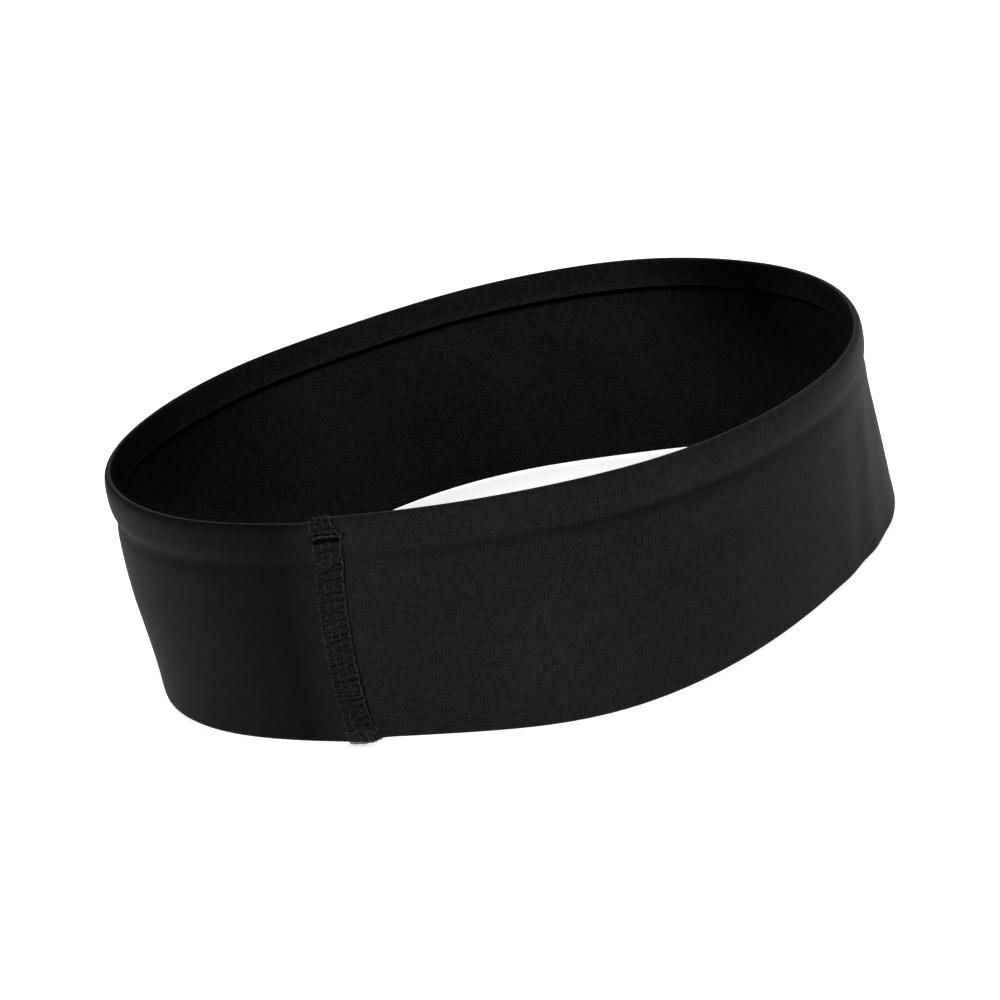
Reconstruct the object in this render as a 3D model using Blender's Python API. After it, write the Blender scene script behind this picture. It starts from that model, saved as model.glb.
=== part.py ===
"""A pull-on sports headband: a folded jersey strip with an elastic hem, closed by one flat seam.

The band stands on its folded edge with its axis along +Z. The origin is at the middle of its
bounding box's bottom, and the seam is on the -X -Y side. Lengths below are in millimetres and
angles in degrees.
"""

import bmesh
import bpy
import numpy as np
from mathutils import Vector

MM = 0.001

# The whole band
BAND_HEIGHT = 57.0
STATIONS = 60

# Each plan is a radius about a centre plus waves, each (waves in one turn, size, direction of a crest).
# The elastic draws the rim in, so the foot is a little longer round.
RIM_PLAN = {
    "centre": (3.6, 7.7),
    "radius": 79.4,
    "waves": ((2, 10.4, 0.0), (3, 2.4, 64.0), (4, 0.7, -4.0)),
    "seam_direction": -124.0,
}
FOOT_PLAN = {
    "centre": (4.6, 10.0),
    "radius": 80.0,
    "waves": ((2, 11.5, 8.0), (3, 1.3, 49.0), (4, 3.6, 12.0)),
    "seam_direction": -128.0,
}

# The strip of fabric
FABRIC_THICKNESS = 0.55
PLY_SPACING = 0.9
HEM_DEPTH = 10.0
FOLD_HEIGHT = 0.55
FOLD_FLAT = 0.5
SEAM_GAP = 1.0
CLEARANCE = 0.3

# What the hem holds
ELASTIC_WIDTH = 6.35
ELASTIC_THICKNESS = 1.0
ELASTIC_OUT = 0.35
ELASTIC_BELOW_RIM = 1.15
FILM_THICKNESS = 0.15
FILM_CLEARANCE = 0.25

# The flat seam and its tacks
SEAM_GAUGE = 6.4
NEEDLE_ROWS = ("left_outer", "left_inner", "right_inner", "right_outer")
STITCH_LENGTH = 2.6
THREAD_RADIUS = 0.15
STITCH_BOW = 0.15
SEAM_LOW = 1.4
SEAM_HIGH = 55.2
TACK_WIDTH = 7.0
HEM_TACK_HEIGHT = 50.5
HEM_TACK_ROWS = 4
FOOT_TACK_LOW = 1.0
FOOT_TACK_HIGH = 5.0
TACK_PITCH = 0.55

# Worked out from the sizes above
HALF_FABRIC = FABRIC_THICKNESS / 2
PLY_OUT = PLY_SPACING / 2
ELASTIC_TOP = BAND_HEIGHT - ELASTIC_BELOW_RIM
ELASTIC_LOW = ELASTIC_TOP - ELASTIC_WIDTH
ROLL_HALF = ELASTIC_THICKNESS / 2 + CLEARANCE + HALF_FABRIC
ROLL_OUTER = ELASTIC_OUT + ROLL_HALF
ROLL_INNER = ELASTIC_OUT - ROLL_HALF
ROLL_SHOULDER = ELASTIC_TOP - 0.35
FLAP_OUT = -(PLY_OUT + FABRIC_THICKNESS + FILM_THICKNESS + 2 * FILM_CLEARANCE)
FLAP_EDGE = BAND_HEIGHT - HEM_DEPTH
PLY_EDGE = ELASTIC_LOW - CLEARANCE
FILM_OUT = (FLAP_OUT - PLY_OUT) / 2

JERSEY = {"name": "black_jersey", "colour": (0.012, 0.012, 0.013), "roughness": 0.85}
ELASTIC = {"name": "black_elastic", "colour": (0.02, 0.02, 0.02), "roughness": 0.8}
FILM = {"name": "bond_film", "colour": (0.25, 0.25, 0.25), "roughness": 0.4}
THREAD = {"name": "black_thread", "colour": (0.03, 0.03, 0.032), "roughness": 0.6}


def outer_line():
    """The middle of the outer layer's fabric as (out, height), from the fold at the foot up to the roll."""
    return [
        (PLY_OUT, FOLD_HEIGHT),
        (PLY_OUT, BAND_HEIGHT / 2),
        (PLY_OUT, FLAP_EDGE - 0.2),
        ((PLY_OUT + ROLL_OUTER) / 2 - 0.15, FLAP_EDGE + 1.2),
        (ROLL_OUTER, ELASTIC_LOW - 0.1),
        (ROLL_OUTER, ROLL_SHOULDER),
    ]


def flap_line():
    """The middle of the hem flap's fabric as (out, height), from the roll down to its bonded edge."""
    return [
        (ROLL_INNER, ROLL_SHOULDER),
        (ROLL_INNER, ELASTIC_LOW + 1.4),
        (FLAP_OUT, ELASTIC_LOW + 0.4),
        (FLAP_OUT, FLAP_EDGE),
    ]


def strip_section():
    """The middle line of the whole folded strip, from the inner layer's free edge to the flap's."""
    inner_layer = [(-PLY_OUT, PLY_EDGE), (-PLY_OUT, BAND_HEIGHT / 2), (-PLY_OUT, FOLD_HEIGHT)]
    fold = [(-FOLD_FLAT / 2, HALF_FABRIC), (FOLD_FLAT / 2, HALF_FABRIC)]
    roll = [
        (ROLL_OUTER - 0.2, BAND_HEIGHT - 0.7),
        (ROLL_OUTER - 0.7, BAND_HEIGHT - HALF_FABRIC),
        (ROLL_INNER + 0.7, BAND_HEIGHT - HALF_FABRIC),
        (ROLL_INNER + 0.2, BAND_HEIGHT - 0.7),
    ]
    return inner_layer + fold + outer_line() + roll + flap_line()


def outline(plan):
    """The closed plan curve as dense points from the seam round, with the distance to each."""
    turn = np.radians(plan["seam_direction"] + np.linspace(0.0, 360.0, 1441))
    radius = plan["radius"] + sum(
        size * np.cos(waves * (turn - np.radians(crest))) for waves, size, crest in plan["waves"]
    )
    x = plan["centre"][0] + radius * np.cos(turn)
    y = plan["centre"][1] + radius * np.sin(turn)
    distance = np.concatenate([[0.0], np.cumsum(np.hypot(np.diff(x), np.diff(y)))])
    return x, y, distance


RIM = outline(RIM_PLAN)
FOOT = outline(FOOT_PLAN)
BAND_LENGTH = (RIM[2][-1] + FOOT[2][-1]) / 2


def on_outline(curve, share):
    """The point that lies this share of the way round from the seam."""
    x, y, distance = curve
    reach = (share % 1.0) * distance[-1]
    return np.array([np.interp(reach, distance, x), np.interp(reach, distance, y)])


def on_wall(along, out, height):
    """A point of the wall: so far along from the seam, out from the wall's middle and up, unshifted."""
    share = along / BAND_LENGTH
    up = height / BAND_HEIGHT
    step = 0.002
    before, here, after = (
        on_outline(FOOT, share + move) * (1 - up) + on_outline(RIM, share + move) * up
        for move in (-step, 0.0, step)
    )
    tangent = (after - before) / np.linalg.norm(after - before)
    outward = np.array([tangent[1], -tangent[0]])
    return np.array([*(here + outward * out), height])


def middle_of_box():
    """The middle, in plan, of the box round the outer faces."""
    reach = [(ROLL_OUTER + HALF_FABRIC, ELASTIC_TOP), (PLY_OUT + HALF_FABRIC, FOLD_HEIGHT)]
    alongs = np.linspace(SEAM_GAP / 2, BAND_LENGTH - SEAM_GAP / 2, STATIONS + 1)
    points = np.array([on_wall(along, *place) for along in alongs for place in reach])
    return (points.min(axis=0) + points.max(axis=0)) / 2


MIDDLE = middle_of_box() * (1, 1, 0)


def wall_point(along, out, height):
    """The same point in metres, in the part's own frame."""
    return Vector((on_wall(along, out, height) - MIDDLE) * MM)


def outer_face(height):
    """How far out the outer layer's face stands at a height."""
    outs, heights = zip(*outer_line())
    return np.interp(height, heights, outs) + HALF_FABRIC


def inner_face(height):
    """How far out the face towards the head stands at a height; inwards is negative."""
    flap_outs, flap_heights = zip(*reversed(flap_line()))
    below_flap = FLAP_EDGE - CLEARANCE
    heights = (below_flap - 2 * CLEARANCE, below_flap, *flap_heights)
    outs = (-PLY_OUT, FLAP_OUT, *flap_outs)
    return np.interp(height, heights, outs) - HALF_FABRIC


def material(finish):
    made = bpy.data.materials.new(finish["name"])
    made.use_nodes = True
    shader = made.node_tree.nodes["Principled BSDF"]
    shader.inputs["Base Color"].default_value = (*finish["colour"], 1.0)
    shader.inputs["Roughness"].default_value = finish["roughness"]
    shader.inputs["Metallic"].default_value = 0.0
    return made


def add_object(name, data, finish):
    data.materials.append(finish)
    made = bpy.data.objects.new(name, data)
    bpy.context.collection.objects.link(made)
    return made


def add_band(name, section, thickness, finish):
    """A sheet that runs the whole way round from one side of the seam to the other."""
    alongs = np.linspace(SEAM_GAP / 2, BAND_LENGTH - SEAM_GAP / 2, STATIONS + 1)
    levels = len(section) - 1
    mesh = bmesh.new()
    bmesh.ops.create_grid(mesh, x_segments=STATIONS, y_segments=levels, size=0.5)
    for corner in mesh.verts:
        station = round((corner.co.x + 0.5) * STATIONS)
        level = round((corner.co.y + 0.5) * levels)
        corner.co = wall_point(alongs[station], *section[level])
    data = bpy.data.meshes.new(name)
    mesh.to_mesh(data)
    mesh.free()
    data.shade_smooth()
    band = add_object(name, data, finish)
    solidify = band.modifiers.new("thickness", "SOLIDIFY")
    solidify.thickness = thickness * MM
    solidify.offset = 0.0
    solidify.use_even_offset = True
    return band


def add_thread(name, run, finish):
    """A length of thread through a list of (along, out, height)."""
    curve = bpy.data.curves.new(name, "CURVE")
    curve.dimensions = "3D"
    curve.bevel_depth = THREAD_RADIUS * MM
    curve.bevel_resolution = 1
    curve.use_fill_caps = True
    spline = curve.splines.new("POLY")
    spline.points.add(len(run) - 1)
    for point, place in zip(spline.points, run):
        point.co = (*wall_point(*place), 1.0)
    spline.use_smooth = True
    return add_object(name, curve, finish)


def stitch_heights(low, high):
    """Heights at the ends and the middles of the stitches between two heights."""
    stitches = round((high - low) / STITCH_LENGTH)
    return np.linspace(low, high, 2 * stitches + 1)


def lying_over(threads):
    """How far off the fabric a thread's middle lies, over this many threads that are already there."""
    bow = STITCH_BOW if threads else 0.0
    return (threads + 1) * CLEARANCE + (2 * threads + 1) * THREAD_RADIUS + bow


def cover_out(height):
    return outer_face(height) + lying_over(1)


def tack_out(height):
    return outer_face(height) + lying_over(2)


def looper_out(height):
    return inner_face(height) - lying_over(0)


def needle_run(across):
    """A row of stitches up the outside of the seam: low at the needle holes, bowed between them."""
    return [
        (across, outer_face(height) + lying_over(0) + STITCH_BOW * (number % 2), height)
        for number, height in enumerate(stitch_heights(SEAM_LOW, SEAM_HIGH))
    ]


def zigzag_run(out_at):
    """A thread that crosses the whole seam and back once for each stitch."""
    reach = SEAM_GAUGE / 2 + THREAD_RADIUS
    return [
        (reach if number % 2 else -reach, out_at(height), height)
        for number, height in enumerate(stitch_heights(SEAM_LOW, SEAM_HIGH))
    ]


def to_and_fro(rows):
    """One path along rows, each a pair of places, that turns back at the end of each row."""
    path = []
    for number, (start, end) in enumerate(rows):
        path += [start, end] if number % 2 == 0 else [end, start]
    return path


def hem_tack_run():
    """Rows across the seam, one above another."""
    reach = TACK_WIDTH / 2
    heights = HEM_TACK_HEIGHT + TACK_PITCH * (np.arange(HEM_TACK_ROWS) - (HEM_TACK_ROWS - 1) / 2)
    return to_and_fro([((-reach, tack_out(h), h), (reach, tack_out(h), h)) for h in heights])


def foot_tack_run():
    """Rows up the seam, side by side."""
    ends = [(tack_out(height), height) for height in (FOOT_TACK_LOW, FOOT_TACK_HIGH)]
    acrosses = np.arange(-TACK_WIDTH / 2, TACK_WIDTH / 2 + TACK_PITCH / 2, TACK_PITCH)
    return to_and_fro([[(across, *end) for end in ends] for across in acrosses])


def clear_scene():
    for old in list(bpy.data.objects):
        bpy.data.objects.remove(old, do_unlink=True)


def build():
    clear_scene()
    add_band("fabric_strip", strip_section(), FABRIC_THICKNESS, material(JERSEY))
    elastic_heights = np.linspace(ELASTIC_LOW, ELASTIC_TOP, 3)
    elastic_section = [(ELASTIC_OUT, height) for height in elastic_heights]
    add_band("hem_elastic", elastic_section, ELASTIC_THICKNESS, material(ELASTIC))
    film_section = [(FILM_OUT, FLAP_EDGE + 0.1), (FILM_OUT, PLY_EDGE - 0.1)]
    add_band("hem_bond_film", film_section, FILM_THICKNESS, material(FILM))

    thread = material(THREAD)
    acrosses = np.linspace(-SEAM_GAUGE / 2, SEAM_GAUGE / 2, len(NEEDLE_ROWS))
    for row, across in zip(NEEDLE_ROWS, acrosses):
        add_thread("needle_thread_" + row, needle_run(across), thread)
    add_thread("cover_thread", zigzag_run(cover_out), thread)
    add_thread("looper_thread", zigzag_run(looper_out), thread)
    add_thread("bar_tack_hem", hem_tack_run(), thread)
    add_thread("bar_tack_foot", foot_tack_run(), thread)


build()
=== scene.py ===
# A black pull-on sports headband: one strip of jersey folded at the foot and hemmed round an elastic,
# its two ends closed by a flat seam with a tack at each end. Sizes in the dictionaries are millimetres.
import math

import bpy
import numpy as np
from mathutils import Matrix, Vector


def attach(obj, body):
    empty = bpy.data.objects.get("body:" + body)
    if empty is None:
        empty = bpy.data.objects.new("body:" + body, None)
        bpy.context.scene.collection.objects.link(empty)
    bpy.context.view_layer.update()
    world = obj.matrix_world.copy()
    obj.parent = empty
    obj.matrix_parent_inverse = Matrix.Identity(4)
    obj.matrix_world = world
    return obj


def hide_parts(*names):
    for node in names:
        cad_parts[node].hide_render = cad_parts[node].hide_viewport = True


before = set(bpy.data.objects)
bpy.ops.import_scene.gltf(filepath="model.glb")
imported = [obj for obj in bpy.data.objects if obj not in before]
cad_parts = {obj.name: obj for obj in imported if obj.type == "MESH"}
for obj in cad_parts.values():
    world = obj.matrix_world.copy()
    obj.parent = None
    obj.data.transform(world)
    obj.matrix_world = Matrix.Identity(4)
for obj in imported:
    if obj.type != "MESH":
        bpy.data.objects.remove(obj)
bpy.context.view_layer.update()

mm = 0.001
draw = np.random.default_rng(57)  # one seeded source for every small unevenness

view = {
    "aim": (-3.69, -8.82, 28.5),  # the middle of the wall's height, a little in front of the box's middle
    "distance": 521.0,
    "elevation": 24.0,
    "roll": -12.7,
    "lens": 77.1,
    "nearest": 10.0,  # anything closer isn't drawn
}


def addCamera():
    rise = math.radians(view["elevation"])
    back = Vector((0.0, -math.cos(rise), math.sin(rise)))
    turn = Matrix.Rotation(math.radians(view["roll"]), 3, back)
    right = turn @ Vector((1.0, 0.0, 0.0))
    made = bpy.data.objects.new("camera", bpy.data.cameras.new("camera"))
    bpy.context.scene.collection.objects.link(made)
    made.data.lens = view["lens"]
    made.data.clip_start = view["nearest"] * mm
    axes = Matrix((right, back.cross(right), back)).transposed()
    place = (Vector(view["aim"]) + back * view["distance"]) * mm
    made.matrix_world = Matrix.Translation(place) @ axes.to_4x4()
    bpy.context.scene.camera = made


# soft boxes: direction from the front (to the right positive) and height in degrees, side, and power
studio = {
    "distance": 1200,
    "boxes": {
        "frontLeft": {"round": -30, "rise": 12, "side": 500, "power": 7.3},
        "front": {"round": 5, "rise": 12, "side": 500, "power": 2.9},
        "frontRight": {"round": 35, "rise": 40, "side": 500, "power": 2.0},
        "sideRight": {"round": 115, "rise": 30, "side": 500, "power": 7.0},
        "back": {"round": 180, "rise": 25, "side": 900, "power": 5.0},
        "top": {"round": 0, "rise": 90, "side": 1000, "power": 10.8},
    },
    "world": 0.03,
}


def addLights():
    world = bpy.data.worlds.new("white studio")
    world.use_nodes = True
    world.node_tree.nodes["Background"].inputs["Color"].default_value = (1.0, 1.0, 1.0, 1.0)
    world.node_tree.nodes["Background"].inputs["Strength"].default_value = studio["world"]
    bpy.context.scene.world = world
    for name, box in studio["boxes"].items():
        lamp = bpy.data.lights.new(name, "AREA")
        lamp.size = box["side"] * mm
        lamp.energy = box["power"]
        made = bpy.data.objects.new(name, lamp)
        bpy.context.scene.collection.objects.link(made)
        turn, rise = math.radians(box["round"]), math.radians(box["rise"])
        towards = Vector((math.sin(turn) * math.cos(rise), -math.cos(turn) * math.cos(rise), math.sin(rise)))
        made.location = towards * studio["distance"] * mm
        made.rotation_euler = towards.to_track_quat("Z", "Y").to_euler()


def linear(hexColour):
    # sRGB hex to the linear values that a shader takes
    parts = [int(hexColour[i:i + 2], 16) / 255 for i in (1, 3, 5)]
    return (*[p / 12.92 if p <= 0.04045 else ((p + 0.055) / 1.055) ** 2.4 for p in parts], 1.0)


def node(tree, kind, settings=None, inputs=None):
    # adds a node; settings are its properties, and each input is a value or another node's output
    made = tree.nodes.new(kind)
    for key, value in (settings or {}).items():
        setattr(made, key, value)
    for key, value in (inputs or {}).items():
        if isinstance(value, bpy.types.NodeSocket):
            tree.links.new(value, made.inputs[key])
        else:
            made.inputs[key].default_value = value
    return made


def newMaterial(name):
    made = bpy.data.materials.new(name)
    made.use_nodes = True
    return made, made.node_tree, made.node_tree.nodes["Principled BSDF"]


# matte white paper: plain and shadowless, glowing just enough to stay white round a black object
paper = {
    "side": 8000.0,
    "drop": 0.6,        # under the band, so that the two faces don't meet
    "colour": "#f4f4f4",
    "roughness": 0.9,
    "specular": 0.04,
    "glow": 0.5,
}


def addFloor():
    bpy.ops.object.select_all(action="DESELECT")
    bpy.ops.mesh.primitive_plane_add(size=paper["side"] * mm, location=(0.0, 0.0, -paper["drop"] * mm))
    floor = bpy.context.object
    floor.name = "floor"
    material, tree, shader = newMaterial("matte white paper")
    shader.inputs["Base Color"].default_value = linear(paper["colour"])
    shader.inputs["Roughness"].default_value = paper["roughness"]
    shader.inputs["Specular IOR Level"].default_value = paper["specular"]
    shader.inputs["Emission Color"].default_value = (1.0, 1.0, 1.0, 1.0)
    shader.inputs["Emission Strength"].default_value = paper["glow"]
    floor.data.materials.append(material)


addCamera()
addLights()
addFloor()
bpy.context.scene.view_settings.view_transform = "Standard"
print("camera, lights and floor")

# A plan is a radius about a centre plus waves, each (waves in one turn, size, direction of a crest).
band = {
    "height": 57.0,
    "rim": {"centre": (3.6, 7.7), "radius": 79.4, "seam": -124.0,
            "waves": ((2, 10.4, 0.0), (3, 2.4, 64.0), (4, 0.7, -4.0))},
    "foot": {"centre": (4.6, 10.0), "radius": 80.0, "seam": -128.0,
             "waves": ((2, 11.5, 8.0), (3, 1.3, 49.0), (4, 3.6, 12.0))},
    "planSteps": 2880,
    # the widest faces at the roll and at the foot, as (out, height)
    "widest": ((1.7, 55.85), (0.725, 0.55)),
}


def outline(plan):
    turn = np.radians(plan["seam"] + np.linspace(0.0, 360.0, band["planSteps"] + 1))
    radius = plan["radius"] + sum(
        size * np.cos(waves * (turn - math.radians(crest))) for waves, size, crest in plan["waves"])
    x = plan["centre"][0] + radius * np.cos(turn)
    y = plan["centre"][1] + radius * np.sin(turn)
    return x, y, np.concatenate([[0.0], np.cumsum(np.hypot(np.diff(x), np.diff(y)))])


rimLine, footLine = outline(band["rim"]), outline(band["foot"])
bandLength = (rimLine[2][-1] + footLine[2][-1]) / 2


def onOutline(line, along):
    reach = (along / bandLength % 1.0) * line[2][-1]
    return np.stack([np.interp(reach, line[2], line[0]), np.interp(reach, line[2], line[1])], axis=-1)


def onPlan(along, up):
    # the wall's middle in plan, up being 0 at the foot and 1 at the rim
    up = np.asarray(up)[..., None]
    return onOutline(footLine, along) * (1 - up) + onOutline(rimLine, along) * up


def bump(x, middle, width):
    return np.exp(-(((x - middle) / width) ** 2))


def fromSeam(along):
    # signed distance from the seam, to the right of it positive
    return (along + bandLength / 2) % bandLength - bandLength / 2


seam = {
    "bow": 2.5,          # how far the seam's middle stands to the left of a straight line
    "shift": 0.7,        # the whole seam, to the right
    "rimLean": 2.0,      # the roll pulls its last stitches back to the left
    "leanReach": 30.0,   # the three above fade over this distance from the seam
    "rimSqueeze": 0.3,   # the roll brings the needle rows together
    "cusp": 1.4,         # the stiff seam stands out of the oval like a soft corner
    "cuspReach": 11.0,
    "cuspEnds": 0.75,    # share of it at the rim and at the foot
    "rimStep": (-0.9, 0.55),  # the two ends were joined unevenly: how high each one stands at the rim
    "footStep": (0.0, 1.1),
    "stepReach": 24.0,
    "stepFrom": -2.5,    # where the step comes at the rim, from the seam's middle
    "stepSlant": 5.5,    # and how much further right at the foot
    "stepWidth": 2.2,
    "gauge": 6.4,        # between the outer needle rows
    "rows": ("left_outer", "left_inner", "right_inner", "right_outer"),
    "stitches": 22,
    "start": 1.4,        # first stitch, over the cloth from the foot's lowest point
    "end": 0.3,          # last stitch, past the rim
    "sink": 0.30,        # how far a needle hole pulls the cloth in
    "hole": 0.35,        # width of that pull
    "steady": 0.6,       # its mean, which swings by the rest up to the full pull at a hole
    "pad": 0.28,         # the overlapping ends make the seam this much thicker
    "padPast": 0.2,      # and reach this far past the outer rows
    "padEdge": 0.12,
    "furrow": (0.17, 0.38, 0.14),      # the step off the right-hand edge: depth, past the outer row, width
    "furrowShade": (0.6, 0.36, 0.12),   # and the painted shade in it, in the same way
    "stitchShadeEdge": (0.1, 0.15),            # painted shade under the stitches: past the outer rows, softness
}
hem = {
    "groove": 45.6,      # height of the valley under the roll, outside
    "creaseAt": 152.0,   # it is a sharp crease here, at the right-hand end of the oval
    "creaseReach": 24.0,
    "creaseFade": 7.0,
    "creaseUp": 1.4,     # its bottom, above the valley
    "creaseWidth": 0.4,
    "creaseDepth": 0.15,
    "lip": 0.6,          # the wall stands out this far along a lip at the crease
    "lipAt": 1.8,        # the lip, above the valley
    "lipTop": 0.35,      # it drops off short above and runs out long below
    "lipFoot": 4.5,
    "lipHighlight": 3.5,      # a painted highlight along its edge, along a line (up, width)
    "lipLine": (0.1, 0.35),
    "lipShift": 6.0,     # that line starts twice this further right, and ends with the crease
    "lipFade": 5.0,
    "rimEdge": 0.5,      # the outer layer ends this far past the rim
    "turn": 0.3,         # softness of its two ends
    "tackHeight": 53.0,
    "tackWidth": 6.4,
    "pit": 1.0,          # how deep the tack pulls the roll in
    "slotTilt": 0.13,    # the tack slants down to the right
    "slot": 1.0,         # half the height of the slot that it makes
    "slotEnd": 0.2,
    "slotEdge": 0.12,
    "slotGrown": 0.1,    # the painted shade in the slot reaches this far past it
    # how dark the painted shade in the slot is
    "slotShade": 0.95,
    "dimple": 0.6,       # how deep the dimple is at the tack's right-hand end
    "dimpleAt": (0.6, 0.0, 0.6),    # past the outer row, above the tack, size
    # painted shade in the dimple: how dark, then (past the outer row, above the tack, size)
    "dimpleShadeStrength": 0.9,
    "dimpleShade": (0.7, 0.1, 0.7),
}
# the cloth bellies out here and there: (along, height, reach along, reach up, how far)
swells = [
    (-75.0, 32.0, 26.0, 20.0, 2.2),
    (35.0, 2.0, 34.0, 12.0, 0.9),
    (98.0, 2.0, 22.0, 14.0, 1.1),
    (168.0, 24.0, 24.0, 22.0, 0.5),
]
# upright folds near the right-hand end, fading out towards the valley
folds = {"at": 142.0, "reach": 17.0, "length": 15.0, "size": 0.22, "fade": 12.0}
# the cloth hangs in long soft waves: waves in one turn, how they slant, where they start, how far
lowWave = {"count": 5, "slant": 3.0, "start": 0.0, "size": 0.25}
wholeWave = {"count": 9, "slant": -2.0, "start": 1.0, "size": 0.18}


def relief(along, height):
    # how far the wall stands out of its plan
    off = fromSeam(along)
    up = height / band["height"]
    cuspShare = seam["cuspEnds"] + (1 - seam["cuspEnds"]) * np.cos(math.pi * (up - 0.5))
    out = seam["cusp"] * np.exp(-np.abs(off) / seam["cuspReach"]) * cuspShare
    for place, level, reachAlong, reachUp, size in swells:
        out = out + size * bump(off, place, reachAlong) * bump(height, level, reachUp)
    ripple = np.sin(2 * math.pi * (off - folds["at"]) / folds["length"])
    ripple = ripple * bump(off, folds["at"], folds["reach"])
    out = out + folds["size"] * ripple * np.clip((hem["groove"] - height) / folds["fade"], 0.0, 1.0)
    turn = 2 * math.pi * along / bandLength
    low, whole = (
        wave["size"] * np.sin(wave["count"] * turn + wave["slant"] * up + wave["start"])
        for wave in (lowWave, wholeWave))
    return out + low * (1 - up) + whole


def plateau(x, half, edge):
    # 1 within half of 0, falling to 0 over the edge
    return 1 / (1 + np.exp(np.clip((np.abs(x) - half) / edge, -50, 50)))


def onRoll(height):
    # 0 up to the tack and 1 at the rim
    return np.clip((height - hem["tackHeight"]) / (band["height"] - hem["tackHeight"]), 0.0, 1.0)


def unevenEnds(off, up):
    # how much higher than its neighbour each end stands beside the seam
    share = 0.5 + 0.5 * np.tanh((off - seam["stepFrom"] - seam["stepSlant"] * (1 - up)) / seam["stepWidth"])
    left = seam["footStep"][0] * (1 - up) + seam["rimStep"][0] * up
    right = seam["footStep"][1] * (1 - up) + seam["rimStep"][1] * up
    return (left * (1 - share) + right * share) * np.exp(-np.abs(off) / seam["stepReach"])


def plainWall(along, out, height):
    # a point of the smooth wall before its relief: so far along from the seam, out of the middle, and up
    up = np.clip(height / band["height"], 0.0, 1.0)
    # the way along the wall, from half a millimetre on each side
    before, here, after = (onPlan(along + move, up) for move in (-0.5, 0.0, 0.5))
    tangent = (after - before) / np.linalg.norm(after - before, axis=-1, keepdims=True)
    outward = np.stack([tangent[..., 1], -tangent[..., 0]], axis=-1)
    return here + outward * out[..., None]


# the box's middle in plan, from its widest faces
around = np.linspace(0.0, bandLength, 721)
widest = np.concatenate([
    plainWall(around, np.full_like(around, out), height) for out, height in band["widest"]])
middle = np.array([*((widest.min(axis=0) + widest.max(axis=0)) / 2), 0.0])


def wall(along, out, height):
    # a point of the cloth in metres, in the frame
    along, out, height = np.broadcast_arrays(*[np.asarray(v, float) for v in (along, out, height)])
    up = np.clip(height / band["height"], 0.0, 1.0)
    off = fromSeam(along)
    lean = seam["shift"] - seam["bow"] * 4 * up * (1 - up) - seam["rimLean"] * onRoll(height)
    moved = along + lean * np.exp(-np.abs(off) / seam["leanReach"])
    plan = plainWall(moved, out + relief(along, height), height)
    raised = height + unevenEnds(off, up)
    return (np.concatenate([plan, raised[..., None]], axis=-1) - middle) * mm


strip = {
    "thickness": 0.55,
    "pathStep": 0.1,      # of the section's fine outline
    "seamGap": 0.12,
    "fineStep": 0.25,     # near the seam, then each step a quarter longer than the last
    "fineReach": 5.0,
    "growth": 1.25,
    "coarseStep": 2.8,
    # steps over the inner layer, the fold at the foot, the wall, the roll and the flap
    "rowSteps": (1.3, 0.5, 0.7, 0.3, 0.5),
    "foldReach": 3.0,     # the fold's short steps reach this far each side of it
    "rollBelow": 2.5,     # the roll's start below the valley and end above the tack
    "rollAbove": 2.0,
    "smoothAngle": 60,
    "innerFrom": 0.2,     # the face towards the head starts this far past the rim
    "innerTo": 0.3,       # and ends this far before the foot's lowest point
}
# the folded cloth's middle as (out, height): from its edge inside, down and round the foot, up and over the
# roll, and down to the flap's edge
section = [
    (0.12, 49.45), (0.06, 48.4), (-0.12, 47.2), (-0.34, 46.2), (-0.50, 45.2), (-0.40, 43.0),
    (-0.31, 38.0), (-0.31, 20.0), (-0.31, 6.0), (-0.33, 2.0), (-0.30, 0.85), (-0.12, 0.38),
    (0.12, 0.38), (0.30, 0.85), (0.35, 2.0), (0.31, 6.0), (0.31, 20.0), (0.31, 36.0), (0.40, 41.0),
    (0.34, 43.4), (0.10, 45.4), (0.20, 47.0), (0.98, 48.7), (1.36, 50.6), (1.46, 52.6), (1.42, 54.6),
    (1.12, 56.1), (0.48, 56.74), (-0.20, 56.4), (-0.62, 55.2), (-0.80, 53.2), (-0.94, 51.2), (-1.20, 49.5),
]


def smoothPath(points, step, samples=24):
    # a centripetal spline through the points, at even steps
    points = np.array(points, float)
    knots = np.concatenate([[0.0], np.cumsum(np.linalg.norm(np.diff(points, axis=0), axis=1) ** 0.5)])
    slopes = np.gradient(points, knots, axis=0)
    dense = []
    for i in range(len(points) - 1):
        t = np.linspace(0.0, 1.0, samples, endpoint=i == len(points) - 2)[:, None]
        span = knots[i + 1] - knots[i]
        dense.append((2 * t**3 - 3 * t**2 + 1) * points[i] + (t**3 - 2 * t**2 + t) * span * slopes[i]
                     + (3 * t**2 - 2 * t**3) * points[i + 1] + (t**3 - t**2) * span * slopes[i + 1])
    dense = np.concatenate(dense)
    lengths = np.concatenate([[0.0], np.cumsum(np.linalg.norm(np.diff(dense, axis=0), axis=1))])
    steps = np.linspace(0.0, lengths[-1], max(2, round(lengths[-1] / step)) + 1)
    return np.stack([np.interp(steps, lengths, dense[:, k]) for k in (0, 1)], axis=1)


clothPath = smoothPath(section, strip["pathStep"])
clothReach = np.concatenate([[0.0], np.cumsum(np.linalg.norm(np.diff(clothPath, axis=0), axis=1))])
clothSlope = np.gradient(clothPath, clothReach, axis=0)
clothWidth = clothReach[-1]
footReach = clothReach[clothPath[:, 1].argmin()]
rimReach = clothReach[clothPath[:, 1].argmax()]
seamStart = footReach + seam["start"]
seamEnd = rimReach + seam["end"]
stitchLength = (seamEnd - seamStart) / seam["stitches"]


def outerReach(height):
    # distance over the cloth to a height on the outer layer
    outer = (clothReach >= footReach) & (clothReach <= rimReach)
    return np.interp(height, clothPath[outer, 1], clothReach[outer])


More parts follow.
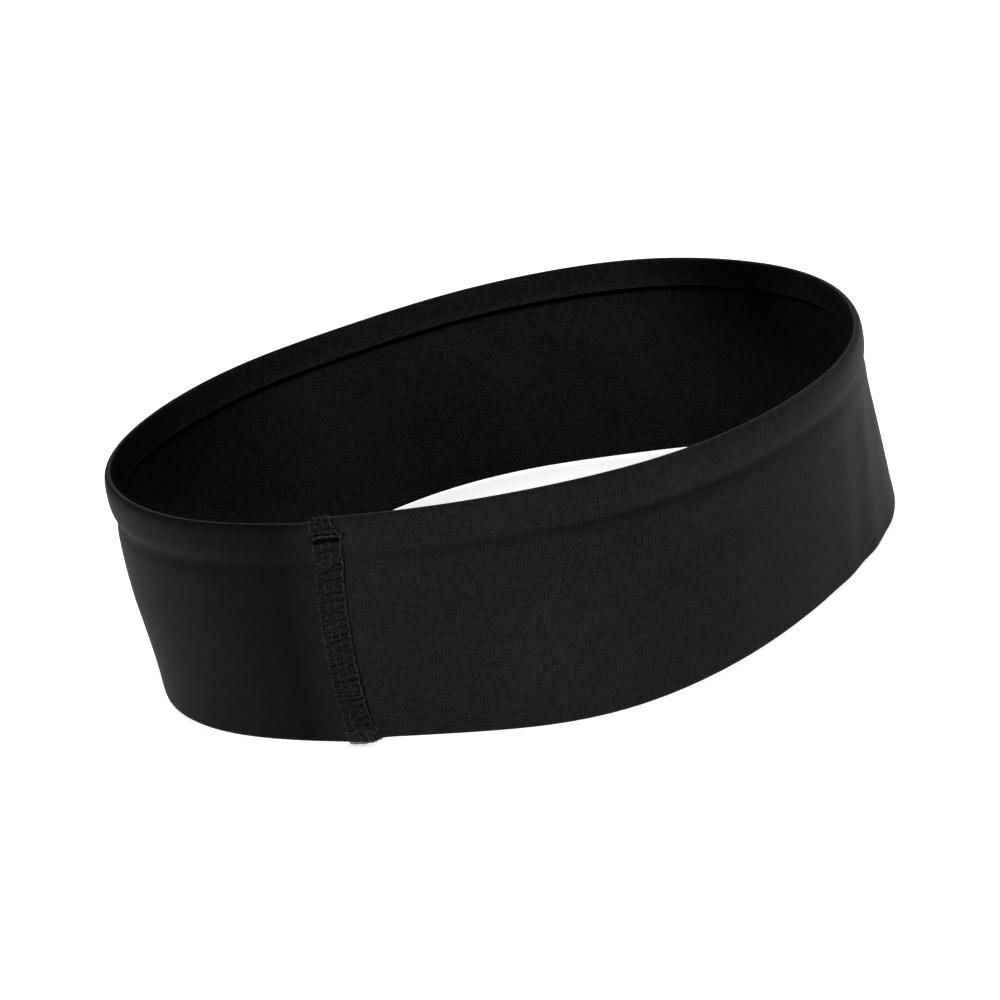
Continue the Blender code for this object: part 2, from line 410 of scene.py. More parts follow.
def innerReach(height):
    # the same on the face towards the head, over the flap near the rim and on the inner layer below it
    inner, flap = clothReach < footReach, clothReach > rimReach
    onInner = np.interp(height, clothPath[inner, 1][::-1], clothReach[inner][::-1])
    onFlap = np.interp(height, clothPath[flap, 1][::-1], clothReach[flap][::-1])
    return np.where(height < clothPath[-1, 1], onInner, onFlap)


def rollShare(reach):
    # 0 up to the tack and 1 from the rim on
    return np.clip((reach - tackReach) / (rimReach - tackReach), 0.0, 1.0)


tackReach = outerReach(hem["tackHeight"])
grooveReach = outerReach(hem["groove"])
needleRows = np.linspace(-seam["gauge"] / 2, seam["gauge"] / 2, len(seam["rows"]))


def squeeze(reach):
    # how much closer together the needle rows are on the roll
    return 1 - seam["rimSqueeze"] * rollShare(reach)


def alongTack(off, reach, grown):
    # 1 in the level of the slot that the hem's tack makes
    return plateau(reach - tackReach + hem["slotTilt"] * off, hem["slot"] + grown, hem["slotEdge"])


def inSlot(off, reach, grown=0.0):
    return plateau(off, hem["tackWidth"] / 2, hem["slotEnd"]) * alongTack(off, reach, grown)


def inDimple(off, reach, right, up, size):
    return bump(off, seam["gauge"] / 2 + right, size) * bump(reach, tackReach + up, size)


def seamRelief(off, reach):
    # small shape on top of the wall's: thicker cloth, needle holes, furrow, crease, and the tack's slot
    outer = 1 / (1 + np.exp(np.clip((footReach - reach) / hem["turn"], -50, 50)))
    outer = outer / (1 + np.exp(np.clip((reach - rimReach - hem["rimEdge"]) / hem["turn"], -50, 50)))
    half = seam["gauge"] / 2
    near = off / squeeze(reach)
    lift = seam["pad"] * plateau(near, half + seam["padPast"], seam["padEdge"])
    pull = seam["steady"] + (1 - seam["steady"]) * np.cos(2 * math.pi * (reach - seamStart) / stitchLength)
    for across in needleRows:
        lift = lift - seam["sink"] * bump(near, across, seam["hole"]) * pull
    depth, right, width = seam["furrow"]
    lift = lift * (0.5 + 0.5 * outer) - depth * bump(near, half + right, width) * outer
    crease = plateau(off - hem["creaseAt"], hem["creaseReach"], hem["creaseFade"]) * outer
    creaseLine = bump(reach, grooveReach + hem["creaseUp"], hem["creaseWidth"])
    lift = lift - hem["creaseDepth"] * creaseLine * crease
    above = reach - grooveReach - hem["lipAt"]
    lift = lift + hem["lip"] * bump(above, 0.0, np.where(above > 0, hem["lipTop"], hem["lipFoot"])) * crease
    pulledIn = hem["pit"] * inSlot(off, reach) + hem["dimple"] * inDimple(off, reach, *hem["dimpleAt"])
    return lift - pulledIn * outer


def onCloth(along, reach, lift):
    # a point over the cloth's middle, reach being the distance over the cloth from its edge inside
    out, height, runOut, runUp = (
        np.interp(reach, clothReach, values)
        for values in (clothPath[:, 0], clothPath[:, 1], clothSlope[:, 0], clothSlope[:, 1]))
    size = np.hypot(runOut, runUp)
    lift = lift + seamRelief(fromSeam(along), reach)
    return wall(along, out + lift * runUp / size, height - lift * runOut / size)


def select(*pieces):
    bpy.ops.object.select_all(action="DESELECT")
    for piece in pieces:
        piece.select_set(True)
    bpy.context.view_layer.objects.active = pieces[0]


def applyModifiers(piece):
    select(piece)
    for modifier in list(piece.modifiers):
        bpy.ops.object.modifier_apply(modifier=modifier.name)


def layGrid(name, alongs, reaches, place):
    # a grid primitive laid round the band: its columns go along, its rows over the cloth
    bpy.ops.object.select_all(action="DESELECT")
    bpy.ops.mesh.primitive_grid_add(
        x_subdivisions=len(alongs) - 1, y_subdivisions=len(reaches) - 1, size=2.0)
    piece = bpy.context.object
    piece.name = name
    flat = np.zeros(len(piece.data.vertices) * 3)
    piece.data.vertices.foreach_get("co", flat)
    flat = flat.reshape(-1, 3)
    column = np.rint((flat[:, 0] + 1) / 2 * (len(alongs) - 1)).astype(int)
    row = np.rint((flat[:, 1] + 1) / 2 * (len(reaches) - 1)).astype(int)
    piece.data.vertices.foreach_set("co", place(alongs[column], row).ravel())
    corners = np.zeros(len(piece.data.loops), int)
    piece.data.loops.foreach_get("vertex_index", corners)
    cloth = piece.data.uv_layers.active
    cloth.name = "cloth"
    cloth.data.foreach_set("uv", np.stack([alongs[column], reaches[row]], axis=1)[corners].ravel())
    piece.data.update()
    return piece


def stripColumns():
    steps = [strip["seamGap"] / 2]
    step = strip["fineStep"]
    while step < strip["coarseStep"]:
        steps.append(steps[-1] + step)
        if steps[-1] > strip["fineReach"]:
            step *= strip["growth"]
    rest = bandLength - 2 * steps[-1]
    far = np.linspace(steps[-1], bandLength - steps[-1], round(rest / strip["coarseStep"]) + 1)
    return np.concatenate([steps, far[1:-1], bandLength - np.array(steps[::-1])])


def shadeAt(along, reach):
    # how much of the cloth's tone shows, by place: painted shade and painted highlight over the strip
    off = fromSeam(along)
    half = seam["gauge"] / 2
    outer = np.clip((reach - footReach) / jersey["footFade"], 0.0, 1.0)
    # painted shade: the cloth left of the seam is drawn darker
    leftEnd = (1 - jersey["leftEndShade"]) * np.clip(-off / jersey["endStart"], 0.0, 1.0)
    shade = 1 - leftEnd * np.clip((jersey["endReach"] + off) / jersey["endFade"], 0.0, 1.0)
    near = off / squeeze(reach)
    # painted shade under the stitches
    past, edge = seam["stitchShadeEdge"]
    shade = shade * (1 - (1 - jersey["stitchShade"]) * plateau(near, half + past, edge))
    # painted shade in the furrow off the seam's right-hand edge
    depth, right, width = seam["furrowShade"]
    shade = shade * (1 - depth * bump(near, half + right, width) * outer)
    # painted shade in the valley under the roll, strongest away from the seam
    least, place, spread = jersey["valleyAlong"]
    valley = least + (1 - least) * bump(off, place, spread)
    up, width = jersey["valleyLine"]
    shade = shade * (1 - jersey["valley"] * bump(reach, grooveReach + up, width) * valley)
    # painted highlight along the lip's edge at the right-hand end
    up, width = hem["lipLine"]
    lipPlace = off - hem["creaseAt"] - hem["lipShift"]
    lip = bump(reach, grooveReach + hem["lipAt"] + up, width)
    lip = lip * plateau(lipPlace, hem["creaseReach"] - hem["lipShift"], hem["lipFade"])
    shade = shade * (1 + hem["lipHighlight"] * lip)
    # painted shade on the face towards the head: over the flap, and fading down the inner layer
    places, tones = zip(*jersey["inside"])
    inside = np.interp(along, places, tones)
    shade = np.where(reach > rimReach + hem["rimEdge"], shade * inside, shade)
    shade = shade * (1 + (inside - 1) * bump(reach, 0.0, jersey["insideReach"]) * (1 - outer))
    # painted shade in the tack's slot
    shade = shade * (1 - hem["slotShade"] * inSlot(off, reach, hem["slotGrown"]))
    # painted shade in the dimple at the tack's right-hand end
    return shade * (1 - hem["dimpleShadeStrength"] * inDimple(off, reach, *hem["dimpleShade"]))


def makeStrip():
    # long steps down the inner layer, short ones round the fold and the roll
    changes = (0.0, footReach - strip["foldReach"], footReach + strip["foldReach"],
               grooveReach - strip["rollBelow"], tackReach + strip["rollAbove"], clothWidth)
    reaches = []
    for start, end, step in zip(changes, changes[1:], strip["rowSteps"]):
        reaches.append(np.linspace(start, end, round((end - start) / step), endpoint=False))
    reaches = np.append(np.concatenate(reaches), clothWidth)
    columns = stripColumns()
    piece = layGrid("jersey_strip", columns, reaches, lambda along, row: onCloth(along, reaches[row], 0.0))
    shade = piece.data.attributes.new("shade", "FLOAT", "POINT")
    tones = shadeAt(np.tile(columns, len(reaches)), np.repeat(reaches, len(columns)))
    shade.data.foreach_set("value", tones)
    solid = piece.modifiers.new("cloth thickness", "SOLIDIFY")
    solid.thickness = strip["thickness"] * mm
    solid.offset = 0.0
    solid.use_even_offset = False
    applyModifiers(piece)
    # the face towards the head takes the second material, a shaded copy of the jersey without its gleam
    uv = np.zeros(len(piece.data.loops) * 2)
    piece.data.uv_layers["cloth"].data.foreach_get("uv", uv)
    first = np.zeros(len(piece.data.polygons), int)
    piece.data.polygons.foreach_get("loop_start", first)
    reach = uv[1::2][first]
    inner = (reach > rimReach + strip["innerFrom"]) | (reach < footReach - strip["innerTo"])
    piece.data.polygons.foreach_set("material_index", inner.astype(int))
    select(piece)
    bpy.ops.object.shade_smooth_by_angle(angle=math.radians(strip["smoothAngle"]))
    print("strip", len(piece.data.polygons))
    return piece


# knitted jersey: polyester and elastane yarn in fine ribs; nearly black and matte, with a faint gleam where
# light grazes the outer face. The face towards the head takes a copy without the gleam, a painted shade for
# the dimmer inside of the band
jersey = {
    "gap": "#030303",       # between the ribs
    "yarn": "#1c1c1d",
    "wale": 0.74,           # one rib of stitches, across
    "course": 0.56,         # one row of stitches, up
    "lean": 1.4,            # each stitch is a V, so its rows bend down towards the middle of a rib
    "drift": 0.25,          # the ribs wander a little, as handled cloth does: how often, how far
    "wander": 0.6,
    "ribHigh": 0.3,         # how much the ribs, the rows, the single stitches and the fibres take the light
    "rowHigh": 0.2,
    "uneven": 0.4,
    "fuzz": 1.3,
    "fibre": 2.2,           # how fine the fibres are
    "patch": 0.03,          # the dye is a little uneven over a few centimetres: how often, from tone to tone
    "patchTone": (-0.66, -0.50),
    "bump": 0.05,           # relief of the knit
    "leftEndShade": 0.1,         # painted shade: the cloth left of the seam is drawn darker
    "endStart": 12.0,       # over so much of its start, as far as the reach, and back over the fade
    "endReach": 62.0,
    "endFade": 50.0,
    "stitchShade": 0.2,   # painted shade on the cloth under the stitches
    "valley": 0.6,          # painted shade in the valley under the roll
    "valleyLine": (0.7, 1.3),           # above the valley's bottom, width
    "valleyAlong": (0.3, 75.0, 50.0),   # share of it everywhere, where it is strongest, reach
    "footFade": 2.0,        # the outer face's tone takes over across so much of the fold
    # painted shade on the face towards the head, darker near its ends: (along, tone)
    "inside": [(0.0, 0.9), (165.0, 1.1), (180.0, 0.85), (198.0, 0.65), (215.0, 0.15), (230.0, 0.3),
               (248.0, 0.85), (268.0, 1.1), (348.0, 1.05), (364.0, 0.8), (380.0, 0.55), (400.0, 0.3),
               (bandLength, 0.5)],
    "insideReach": 25.0,    # how far down that shows on the inner layer
    # tone over the strip's width, by height inside and then by distance past the rim: a painted shadow on
    # the cloth behind the flap's edge, the inner layer a little lighter, and a painted highlight along the
    # flap's lower edge
    "toneAcross": [(48.4, 0.02), (47.9, 0.05), (47.5, 1.15)],
    "toneFoot": 1.15,
    "toneFlap": [(0.0, 0.95), (clothWidth - rimReach - 3.0, 1.0), (clothWidth - rimReach - 1.0, 1.35)],
    "roughness": 0.6,
    "specular": 0.04,
}


def makeJersey(name, specular):
    material, tree, shader = newMaterial(name)
    cloth = node(tree, "ShaderNodeUVMap", {"uv_map": "cloth"})
    drift = node(tree, "ShaderNodeTexNoise", {"noise_dimensions": "2D"},
                 {"Vector": cloth.outputs["UV"], "Scale": jersey["drift"], "Detail": 2.0})
    wander = node(tree, "ShaderNodeVectorMath", {"operation": "SCALE"},
                  {0: drift.outputs["Color"], "Scale": jersey["wander"]})
    moved = node(tree, "ShaderNodeVectorMath", {"operation": "ADD"},
                 {0: cloth.outputs["UV"], 1: wander.outputs[0]})
    stitches = node(tree, "ShaderNodeVectorMath", {"operation": "DIVIDE"},
                    {0: moved.outputs[0], 1: (jersey["wale"], jersey["course"], 1.0)})
    parts = node(tree, "ShaderNodeSeparateXYZ", None, {0: stitches.outputs[0]})
    wale = node(tree, "ShaderNodeMath", {"operation": "MULTIPLY"}, {0: parts.outputs["X"], 1: 2 * math.pi})
    rib = node(tree, "ShaderNodeMath", {"operation": "COSINE"}, {0: wale.outputs[0]})
    lean = node(tree, "ShaderNodeMath", {"operation": "MULTIPLY"}, {0: rib.outputs[0], 1: jersey["lean"]})
    course = node(tree, "ShaderNodeMath", {"operation": "MULTIPLY_ADD"},
                  {0: parts.outputs["Y"], 1: 2 * math.pi, 2: lean.outputs[0]})
    row = node(tree, "ShaderNodeMath", {"operation": "SINE"}, {0: course.outputs[0]})
    ribHigh = node(tree, "ShaderNodeMapRange", None,
                   {"Value": rib.outputs[0], "From Min": -1.0, "To Max": jersey["ribHigh"]})
    rowHigh = node(tree, "ShaderNodeMapRange", None,
                   {"Value": row.outputs[0], "From Min": -1.0, "To Max": jersey["rowHigh"]})
    stitch = node(tree, "ShaderNodeMath", {"operation": "ADD"},
                  {0: ribHigh.outputs["Result"], 1: rowHigh.outputs["Result"]})
    # no two stitches take the light alike
    cell = node(tree, "ShaderNodeVectorMath", {"operation": "FLOOR"}, {0: stitches.outputs[0]})
    chance = node(tree, "ShaderNodeTexWhiteNoise", {"noise_dimensions": "2D"}, {"Vector": cell.outputs[0]})
    uneven = node(tree, "ShaderNodeMath", {"operation": "MULTIPLY"},
                  {0: chance.outputs["Value"], 1: jersey["uneven"]})
    fibre = node(tree, "ShaderNodeTexNoise", {"noise_dimensions": "2D"},
                 {"Vector": cloth.outputs["UV"], "Scale": jersey["fibre"], "Detail": 4.0, "Roughness": 0.8})
    fuzz = node(tree, "ShaderNodeMath", {"operation": "MULTIPLY_ADD"},
                {0: fibre.outputs["Fac"], 1: jersey["fuzz"], 2: uneven.outputs[0]})
    high = node(tree, "ShaderNodeMath", {"operation": "ADD"}, {0: stitch.outputs[0], 1: fuzz.outputs[0]})
    patch = node(tree, "ShaderNodeTexNoise", {"noise_dimensions": "2D"},
                 {"Vector": cloth.outputs["UV"], "Scale": jersey["patch"], "Detail": 3.0})
    patchTone = node(tree, "ShaderNodeMapRange", None,
                     {"Value": patch.outputs["Fac"], "From Min": 0.3, "From Max": 0.7,
                      "To Min": jersey["patchTone"][0], "To Max": jersey["patchTone"][1]})
    tone = node(tree, "ShaderNodeMath", {"operation": "ADD", "use_clamp": True},
                {0: high.outputs[0], 1: patchTone.outputs["Result"]})
    colour = node(tree, "ShaderNodeMix", {"data_type": "RGBA"},
                  {"Factor": tone.outputs[0], "A": linear(jersey["gap"]), "B": linear(jersey["yarn"])})
    # the tone over the strip's width, as distances from its edge inside, with its painted shadow behind the
    # flap's edge and painted highlight along the flap's lower edge
    stops = [(float(innerReach(height)), level) for height, level in jersey["toneAcross"]]
    stops += [(footReach - 1.0, jersey["toneFoot"]), (footReach, 1.0)]
    stops += [(rimReach + past, level) for past, level in jersey["toneFlap"]]
    place = node(tree, "ShaderNodeSeparateXYZ", None, {0: cloth.outputs["UV"]})
    share = node(tree, "ShaderNodeMath", {"operation": "DIVIDE"}, {0: place.outputs["Y"], 1: clothWidth})
    ramp = node(tree, "ShaderNodeValToRGB", None, {"Fac": share.outputs[0]})
    marks = ramp.color_ramp.elements
    for mark, (_, level) in zip(marks, (stops[0], stops[-1])):
        mark.color = (level, level, level, 1.0)
    for distance, level in stops:
        marks.new(distance / clothWidth).color = (level, level, level, 1.0)
    across = node(tree, "ShaderNodeMix", {"data_type": "RGBA", "blend_type": "MULTIPLY"},
                  {"Factor": 1.0, "A": colour.outputs["Result"], "B": ramp.outputs["Color"]})
    # the painted shade and highlight by place, from the strip's shade attribute
    paintedShade = node(tree, "ShaderNodeAttribute", {"attribute_name": "shade"})
    shaded = node(tree, "ShaderNodeVectorMath", {"operation": "SCALE"},
                  {0: across.outputs["Result"], "Scale": paintedShade.outputs["Fac"]})
    raised = node(tree, "ShaderNodeBump", None,
                  {"Height": high.outputs[0], "Strength": 1.0, "Distance": jersey["bump"] * mm})
    tree.links.new(shaded.outputs[0], shader.inputs["Base Color"])
    tree.links.new(raised.outputs["Normal"], shader.inputs["Normal"])
    shader.inputs["Roughness"].default_value = jersey["roughness"]
    shader.inputs["Specular IOR Level"].default_value = specular
    return material


stripPiece = makeStrip()
stripPiece.data.materials.append(makeJersey("knitted polyester jersey", jersey["specular"]))
stripPiece.data.materials.append(makeJersey("knitted polyester jersey, shaded copy for the inner face", 0.0))
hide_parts("fabric_strip")
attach(stripPiece, "root")


thread = {
    # radius of each needle thread: the outer right one is loose and bulky, the others are pulled in tight
    "needle": {"left_outer": 0.11, "left_inner": 0.10, "right_inner": 0.10, "right_outer": 0.2},
    "tack": 0.15,
    "twist": 1.1,         # one turn of the two plies
    "wool": 0.065,        # radius of one strand of the soft cover and looper threads
    "strands": 4,
    "step": 0.18,
    "dips": 16,           # points of a needle thread over one stitch
    "sunk": 0.2,          # it goes this far into a hole
    "proud": 1.7,         # and stands up by so many of its radii between two
    "wobble": 0.08,
    "plyApart": 0.45,     # the two plies, in shares of the thread's radius: off its middle, and thick
    "plyThick": 0.6,
}
# the soft thread's way across the seam
wool = {
    "crossings": 3,       # over one stitch
    "points": 26,         # along one crossing
    "edge": 0.05,         # it turns this far inside the outer rows
    "held": 0.4,          # a needle thread holds it down over this width
    "sway": 0.2,          # how unevenly the crossings lie
    "looseEvery": 5,      # loose places along one crossing
    "spread": 0.24,       # between two strands
    "gathered": 0.7,      # share of the spread that a needle thread takes up
    "arch": 0.10,         # how far it stands up between the rows, and how unevenly
    "stray": 0.9,
    "pressed": 0.04,      # how far it is pressed down at them
    "turn": 1.6,          # how sharply it turns at the edges
    "sunk": 0.7,          # how far the hem's tack pulls it in
    "coverLift": 0.09,    # over the cloth's outer and inner faces
    "looperLift": 0.08,
    "looper": (1.6, 55.6),   # heights between which it runs inside
}
# polyester thread: matte and fibrous, dark between its fibres, with a little sheen from the loose ones
threadLook = {
    "woolly": "#202022",
    "spun": "#3c3c3e",
    "dark": "#020202",
    "fibre": 1700.0,      # noise scale, for each metre
    "fibreRange": (0.4, 0.68),
    "bumpStrength": 0.6,
    "bump": 0.03,
    "roughness": 0.5,
    "specular": 0.1,
    "sheen": 0.05,
    "sheenRoughness": 0.4,
}


def evenly(points, step):
    lengths = np.concatenate([[0.0], np.cumsum(np.linalg.norm(np.diff(points, axis=0), axis=1))])
    steps = np.linspace(0.0, lengths[-1], round(lengths[-1] / step) + 1)
    return np.stack([np.interp(steps, lengths, points[:, k]) for k in range(3)], axis=1)


def twisted(route, radius):
    # two plies wound round the route: (ply routes, ply radius)
    route = evenly(route, thread["step"] * mm)
    ahead = np.gradient(route, axis=0)
    ahead /= np.linalg.norm(ahead, axis=1, keepdims=True)
    side = np.cross(ahead, (0.0, 0.0, 1.0)) + 1e-6
    side /= np.linalg.norm(side, axis=1, keepdims=True)
    rise = np.cross(side, ahead)
    turn = np.arange(len(route)) * thread["step"] / thread["twist"] * 2 * math.pi
    swing = [
        np.cos(turn + ply)[:, None] * side + np.sin(turn + ply)[:, None] * rise for ply in (0.0, math.pi)]
    return [route + ply * radius * thread["plyApart"] * mm for ply in swing], radius * thread["plyThick"]


def layThread(name, routes, radius, material, nodeName):
    # round strands along their routes, made one mesh
    curve = bpy.data.curves.new(name, "CURVE")
    curve.dimensions = "3D"
    curve.bevel_depth = radius * mm
    curve.bevel_resolution = 1
    curve.use_fill_caps = True
    for route in routes:
        spline = curve.splines.new("POLY")
        spline.points.add(len(route) - 1)
        spline.points.foreach_set("co", np.concatenate([route, np.ones((len(route), 1))], axis=1).ravel())
    piece = bpy.data.objects.new(name, curve)
    bpy.context.scene.collection.objects.link(piece)
    select(piece)
    bpy.ops.object.convert(target="MESH")
    piece = bpy.context.object
    bpy.ops.object.shade_smooth()
    piece.data.materials.append(material)
    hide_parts(nodeName)
    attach(piece, "root")
    print(name, len(piece.data.polygons))
    return piece


def makeThreadMaterial(name, light):
    material, tree, shader = newMaterial(name)
    place = node(tree, "ShaderNodeTexCoord")
    fibre = node(tree, "ShaderNodeTexNoise", None,
                 {"Vector": place.outputs["Object"], "Scale": threadLook["fibre"],
                  "Detail": 3.0, "Roughness": 0.7})
    patch = node(tree, "ShaderNodeMapRange", None,
                 {"Value": fibre.outputs["Fac"], "From Min": threadLook["fibreRange"][0],
                  "From Max": threadLook["fibreRange"][1]})
    colour = node(tree, "ShaderNodeMix", {"data_type": "RGBA"},
                  {"Factor": patch.outputs["Result"], "A": linear(threadLook["dark"]), "B": linear(light)})
    raised = node(tree, "ShaderNodeBump", None,
                  {"Height": fibre.outputs["Fac"], "Strength": threadLook["bumpStrength"],
                   "Distance": threadLook["bump"] * mm})
    tree.links.new(colour.outputs["Result"], shader.inputs["Base Color"])
    tree.links.new(raised.outputs["Normal"], shader.inputs["Normal"])
    shader.inputs["Roughness"].default_value = threadLook["roughness"]
    shader.inputs["Specular IOR Level"].default_value = threadLook["specular"]
    shader.inputs["Sheen Weight"].default_value = threadLook["sheen"]
    shader.inputs["Sheen Roughness"].default_value = threadLook["sheenRoughness"]
    return material


woollyThread = makeThreadMaterial("textured polyester thread", threadLook["woolly"])
spunThread = makeThreadMaterial("spun polyester thread", threadLook["spun"])
face = strip["thickness"] / 2  # the cloth's surface, from its middle


def needleRoute(across, radius):
    # dips into each hole and lies over the cover thread between them
    t = np.linspace(0.0, seam["stitches"], seam["stitches"] * thread["dips"] + 1)
    between = np.abs(np.sin(math.pi * t)) ** 0.6  # steep at the holes and flat between them
    holes = np.arange(seam["stitches"] + 1)
    wobble = np.interp(t, holes, draw.normal(0.0, thread["wobble"], len(holes)))
    lift = face - thread["sunk"] + (thread["sunk"] + thread["proud"] * radius) * between
    reach = seamStart + t * stitchLength
    return onCloth(across * squeeze(reach) + wobble, reach, lift)


def woollyRoutes(start, end, reachOf, lift):
    # crosses the whole seam to and fro; its strands spread between the needle rows and meet at them
    crossings = round(abs(end - start) / stitchLength * wool["crossings"])
    t = np.linspace(0.0, crossings, crossings * wool["points"] + 1)
    number = np.minimum(np.floor(t), crossings - 1)
    u = 2 * (t - number) - 1
    across = np.where(number % 2 == 0, 1, -1) * np.sin(math.pi / 2 * u) * (seam["gauge"] / 2 - wool["edge"])
    held = sum(bump(across, row, wool["held"]) for row in needleRows)
    sways = draw.normal(0.0, wool["sway"], 2 * crossings + 1)
    sway = np.interp(t, np.arange(0, crossings + 0.5, 0.5), sways)
    loosePlaces = np.linspace(0, crossings, crossings * wool["looseEvery"] + 1)
    turn = 0.5 + 0.5 * np.sign(u) * np.abs(u) ** wool["turn"]
    routes = []
    for strand in range(thread["strands"]):
        loose = np.interp(t, loosePlaces, draw.normal(0.0, 1.0, len(loosePlaces)))
        spread = (strand - (thread["strands"] - 1) / 2) * wool["spread"] + wool["spread"] * loose
        spread = spread * (1.0 - wool["gathered"] * held)
        level = start + (end - start) / crossings * (number + turn) + sway + spread
        rise = lift + wool["arch"] * (1 - held) * (1 + wool["stray"] * np.abs(loose))
        rise = rise - wool["pressed"] * held
        reach = reachOf(level)
        sunk = wool["sunk"] * alongTack(across, reach, 0.0)
        placed = onCloth(across * squeeze(reach), reach, face + rise - sunk)
        routes.append(evenly(placed, thread["step"] * mm))
    return routes


for name, across in zip(seam["rows"], needleRows):
    plies, radius = twisted(needleRoute(across, thread["needle"][name]), thread["needle"][name])
    layThread("needle_stitches_" + name, plies, radius, spunThread, "needle_thread_" + name)
coverRoutes = woollyRoutes(seamStart, seamEnd, lambda reach: reach, wool["coverLift"])
layThread("cover_stitches", coverRoutes, thread["wool"], woollyThread, "cover_thread")
looperRoutes = woollyRoutes(*wool["looper"], innerReach, wool["looperLift"])
layThread("looper_stitches", looperRoutes, thread["wool"], woollyThread, "looper_thread")

tack = {
    "points": 15,           # along one stitch
    "arch": 0.06,           # how far a stitch stands up in its middle
    "hemRows": (0.05, 0.16, 2),   # two long stitches: above the slot's middle, half their distance, how many
    "hemLift": 0.2,
    "hemEnds": (0.12, 0.06),      # how unevenly they end, along and up
    "footRow": (-3.3, 4.0, 14),   # short upright stitches: from, to, how many
    "footLow": 0.6,         # from this far past the foot's lowest point
    "footTop": 3.6,         # up to this height
    "footLift": (0.22, 0.14),     # over the cloth, low and high
    "footEnds": (0.1, 0.15, 0.35),   # how unevenly they end: low, along, high
}


def tackRoute(starts, ends):
    # to and fro between pairs of (along, reach, lift)
    points = []
    for number, (start, end) in enumerate(zip(starts, ends)):
        if number % 2 == 1:
            start, end = end, start
        row = np.linspace(start, end, tack["points"])
        row[:, 2] += tack["arch"] * np.sin(np.linspace(0.0, math.pi, tack["points"]))
        points += list(row)
    along, reach, lift = np.array(points).T
    return onCloth(along, reach, lift)


def makeTacks():
    above, apart, count = tack["hemRows"]
    reaches = tackReach + above + np.linspace(-apart, apart, count)
    half = hem["tackWidth"] / 2
    drop = hem["slotTilt"] * half
    lift = face + tack["hemLift"]
    aside, up = tack["hemEnds"]
    starts = [(-half + draw.normal(0, aside), reach + drop, lift) for reach in reaches]
    ends = [(half + draw.normal(0, aside), reach - drop + draw.normal(0, up), lift) for reach in reaches]
    plies, radius = twisted(tackRoute(starts, ends), thread["tack"])
    layThread("hem_tack", plies, radius, spunThread, "bar_tack_hem")
    columns = np.linspace(*tack["footRow"])
    lowLift, highLift = (face + value for value in tack["footLift"])
    low, aside, high = tack["footEnds"]
    foot, top = footReach - tack["footLow"], outerReach(tack["footTop"])
    starts = [(column, foot + draw.normal(0, low), lowLift) for column in columns]
    ends = [(column + draw.normal(0, aside), top + draw.normal(0, high), highLift) for column in columns]
    plies, radius = twisted(tackRoute(starts, ends), thread["tack"])
    layThread("foot_tack", plies, radius, spunThread, "bar_tack_foot")


makeTacks()

# a band that lies round the whole hem, its two ends butted at the seam
loop = {
    "gap": 3.5,       # from the seam's middle to each end
    "columns": 240,
    "dentReach": 6.0,
    "weld": 0.001,    # points closer than this are one
    "smoothAngle": 50,
}
# woven elastic: rubber cords wrapped in black yarn, in even ribs, dull all over
elastic = {
    "low": 49.6,
    "high": 55.6,
    "out": 0.28,         # its middle, out of the wall's
    "half": 0.40,        # half its thickness between the ribs
    "ribs": 9,
    "rib": 0.10,
    "dent": 0.38,        # the hem's tack presses its ends in
    "points": 41,        # of the profile, on each face
    "dark": "#121212",
    "light": "#262626",
    "weave": 0.6,
    "bump": 0.08,
    "roughness": 0.7,
}
# hot-melt film: a thin milky layer of adhesive, smooth and slightly glossy
film = {
    "profile": [(-0.60, 49.6), (-0.56, 49.6), (-0.56, 51.2), (-0.60, 51.2)],
    "dark": "#77777a",
    "light": "#9a9a9c",
    "cloud": 300.0,      # noise scale, for each metre
    "roughness": 0.4,
}


def elasticProfile():
    # the ribbon's own cross-section as (out, height), ribbed on both faces
    t = np.linspace(0.0, 1.0, elastic["points"])
    fading = np.sin(math.pi * t) ** 0.3  # the ribs fade out at its two edges
    ribs = elastic["half"] + elastic["rib"] * np.cos(2 * math.pi * elastic["ribs"] * t) * fading
    level = elastic["low"] + (elastic["high"] - elastic["low"]) * t
    return np.concatenate([np.stack([elastic["out"] + ribs, level], axis=1),
                           np.stack([elastic["out"] - ribs, level], axis=1)[::-1]])


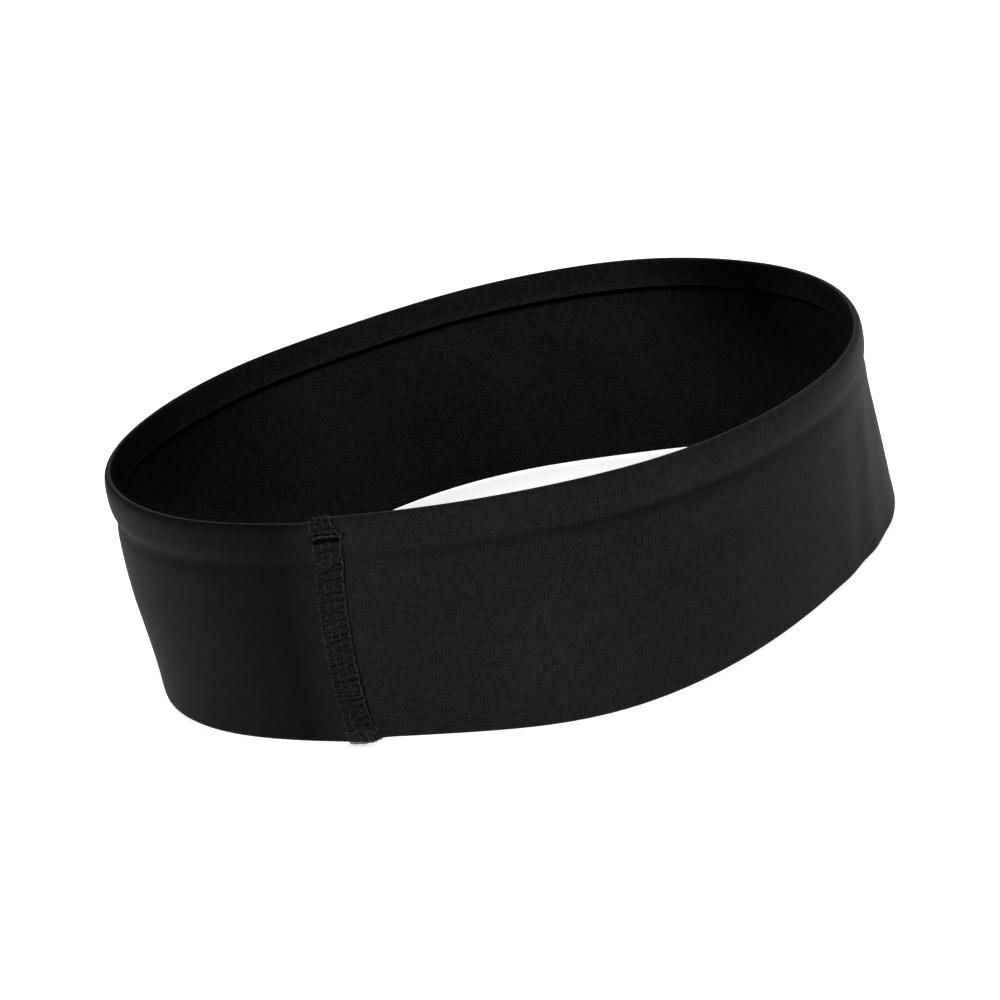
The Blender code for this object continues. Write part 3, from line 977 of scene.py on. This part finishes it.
def loopBand(name, profile, dent, nodeName, material):
    # a closed profile swept round the band, as a grid whose last row meets its first
    profile = np.concatenate([profile, profile[:1]])
    reaches = np.concatenate([[0.0], np.cumsum(np.linalg.norm(np.diff(profile, axis=0), axis=1))])
    alongs = np.linspace(loop["gap"], bandLength - loop["gap"], loop["columns"] + 1)
    dents = dent * bump(fromSeam(alongs), 0.0, loop["dentReach"])
    piece = layGrid(name, alongs, reaches, lambda along, row: wall(
        along, profile[row, 0] - np.interp(along, alongs, dents), profile[row, 1]))
    select(piece)
    bpy.ops.object.mode_set(mode="EDIT")
    bpy.ops.mesh.select_all(action="SELECT")
    bpy.ops.mesh.remove_doubles(threshold=loop["weld"] * mm)
    bpy.ops.mesh.select_all(action="DESELECT")
    bpy.ops.mesh.select_non_manifold()
    bpy.ops.mesh.fill()
    bpy.ops.mesh.select_all(action="SELECT")
    bpy.ops.mesh.normals_make_consistent(inside=False)
    bpy.ops.object.mode_set(mode="OBJECT")
    bpy.ops.object.shade_smooth_by_angle(angle=math.radians(loop["smoothAngle"]))
    piece.data.materials.append(material)
    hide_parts(nodeName)
    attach(piece, "root")
    print(name, len(piece.data.polygons))
    return piece


def makeElasticMaterial():
    material, tree, shader = newMaterial("woven elastic")
    cloth = node(tree, "ShaderNodeUVMap", {"uv_map": "cloth"})
    weave = node(tree, "ShaderNodeTexWave", {"bands_direction": "X"},
                 {"Vector": cloth.outputs["UV"], "Scale": elastic["weave"], "Distortion": 1.0})
    colour = node(tree, "ShaderNodeMix", {"data_type": "RGBA"},
                  {"Factor": weave.outputs["Fac"],
                   "A": linear(elastic["dark"]), "B": linear(elastic["light"])})
    raised = node(tree, "ShaderNodeBump", None,
                  {"Height": weave.outputs["Fac"], "Strength": 0.5, "Distance": elastic["bump"] * mm})
    tree.links.new(colour.outputs["Result"], shader.inputs["Base Color"])
    tree.links.new(raised.outputs["Normal"], shader.inputs["Normal"])
    shader.inputs["Roughness"].default_value = elastic["roughness"]
    return material


def makeFilmMaterial():
    material, tree, shader = newMaterial("hot-melt film")
    place = node(tree, "ShaderNodeTexCoord")
    cloud = node(tree, "ShaderNodeTexNoise", None,
                 {"Vector": place.outputs["Object"], "Scale": film["cloud"]})
    colour = node(tree, "ShaderNodeMix", {"data_type": "RGBA"},
                  {"Factor": cloud.outputs["Fac"], "A": linear(film["dark"]), "B": linear(film["light"])})
    tree.links.new(colour.outputs["Result"], shader.inputs["Base Color"])
    shader.inputs["Roughness"].default_value = film["roughness"]
    return material


loopBand("elastic_ribbon", elasticProfile(), elastic["dent"], "hem_elastic",
         makeElasticMaterial())
loopBand("bond_film", np.array(film["profile"]), 0.0, "hem_bond_film", makeFilmMaterial())
